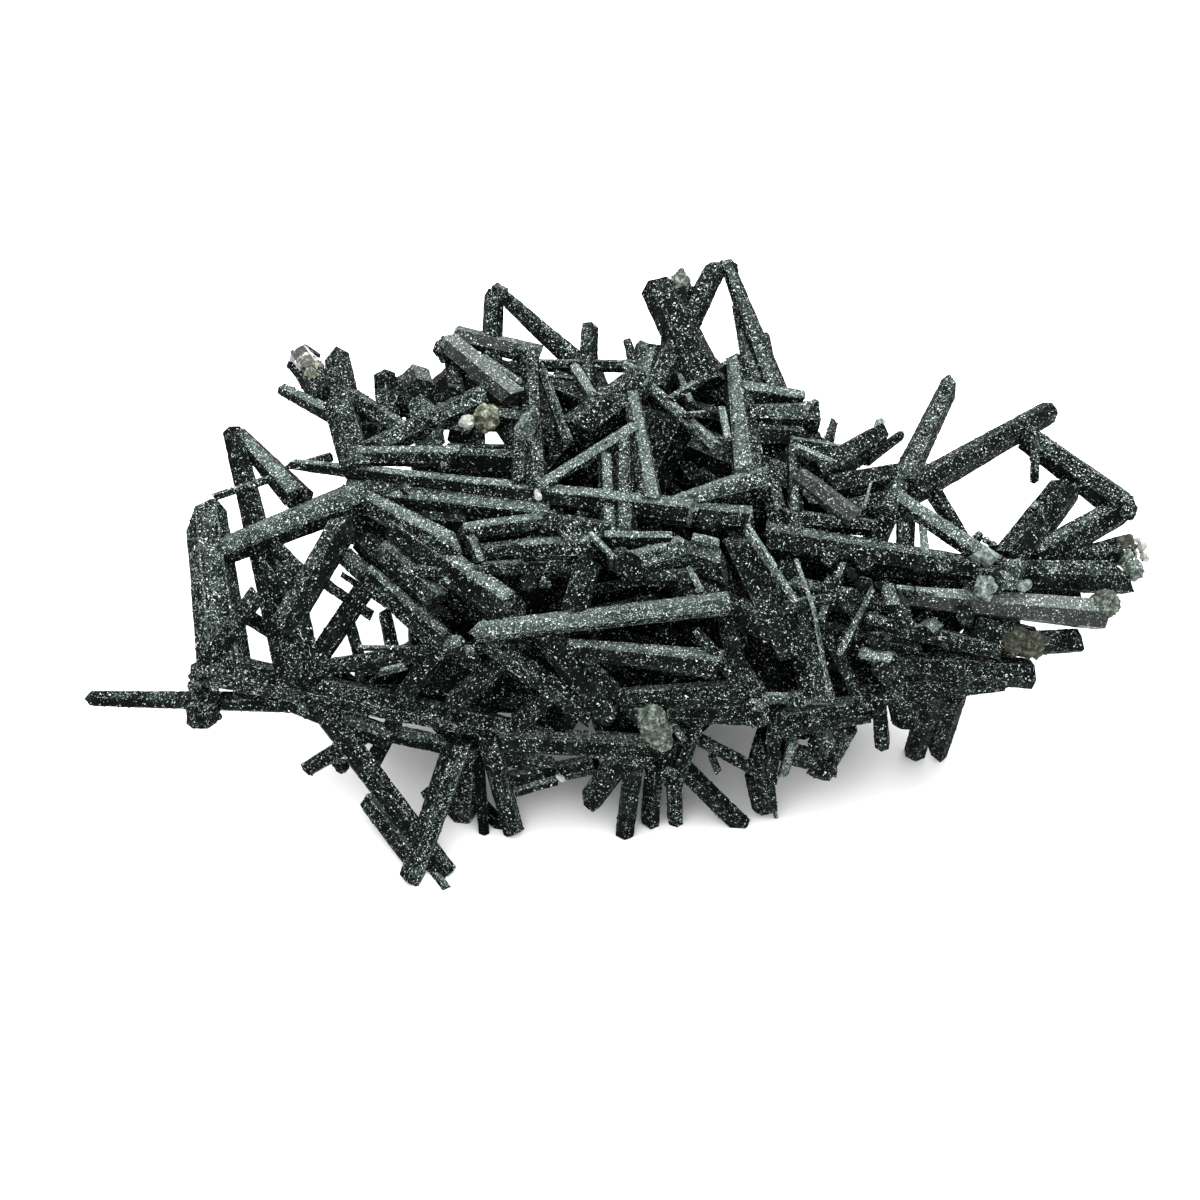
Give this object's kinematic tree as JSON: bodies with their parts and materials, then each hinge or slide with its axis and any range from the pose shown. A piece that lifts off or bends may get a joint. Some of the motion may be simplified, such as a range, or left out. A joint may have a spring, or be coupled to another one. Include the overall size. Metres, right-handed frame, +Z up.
{
  "type": "chlorite quartz crystal cluster",
  "caption": "Natural tangle of long six-sided quartz crystals coated in dark green chlorite, lying on its lowest crystal ends, with uncoated clear and pale tips.",
  "frame": {"origin": "middle of the cluster's box, on the plane it rests on", "axes": "+X along the cluster towards the end with the open loop, -Y towards the side most crystals face, +Z up"},
  "size_m": [0.1329, 0.0692, 0.0464],
  "materials": {
    "chlorite_coat": "dull, finely grained, with a faint glitter",
    "clear_quartz": "clear, glossy crystal faces",
    "pale_quartz": "milky, half matt"
  },
  "bodies": {
    "root": {"crystal_cluster": "chlorite_coat", "clear_tip_left": "clear_quartz", "clear_tip_right": "clear_quartz", "pale_tip_top": "pale_quartz", "pale_tip_front": "pale_quartz", "pale_tip_right": "pale_quartz", "pale_lump": "pale_quartz"}
  },
  "joints": []
}
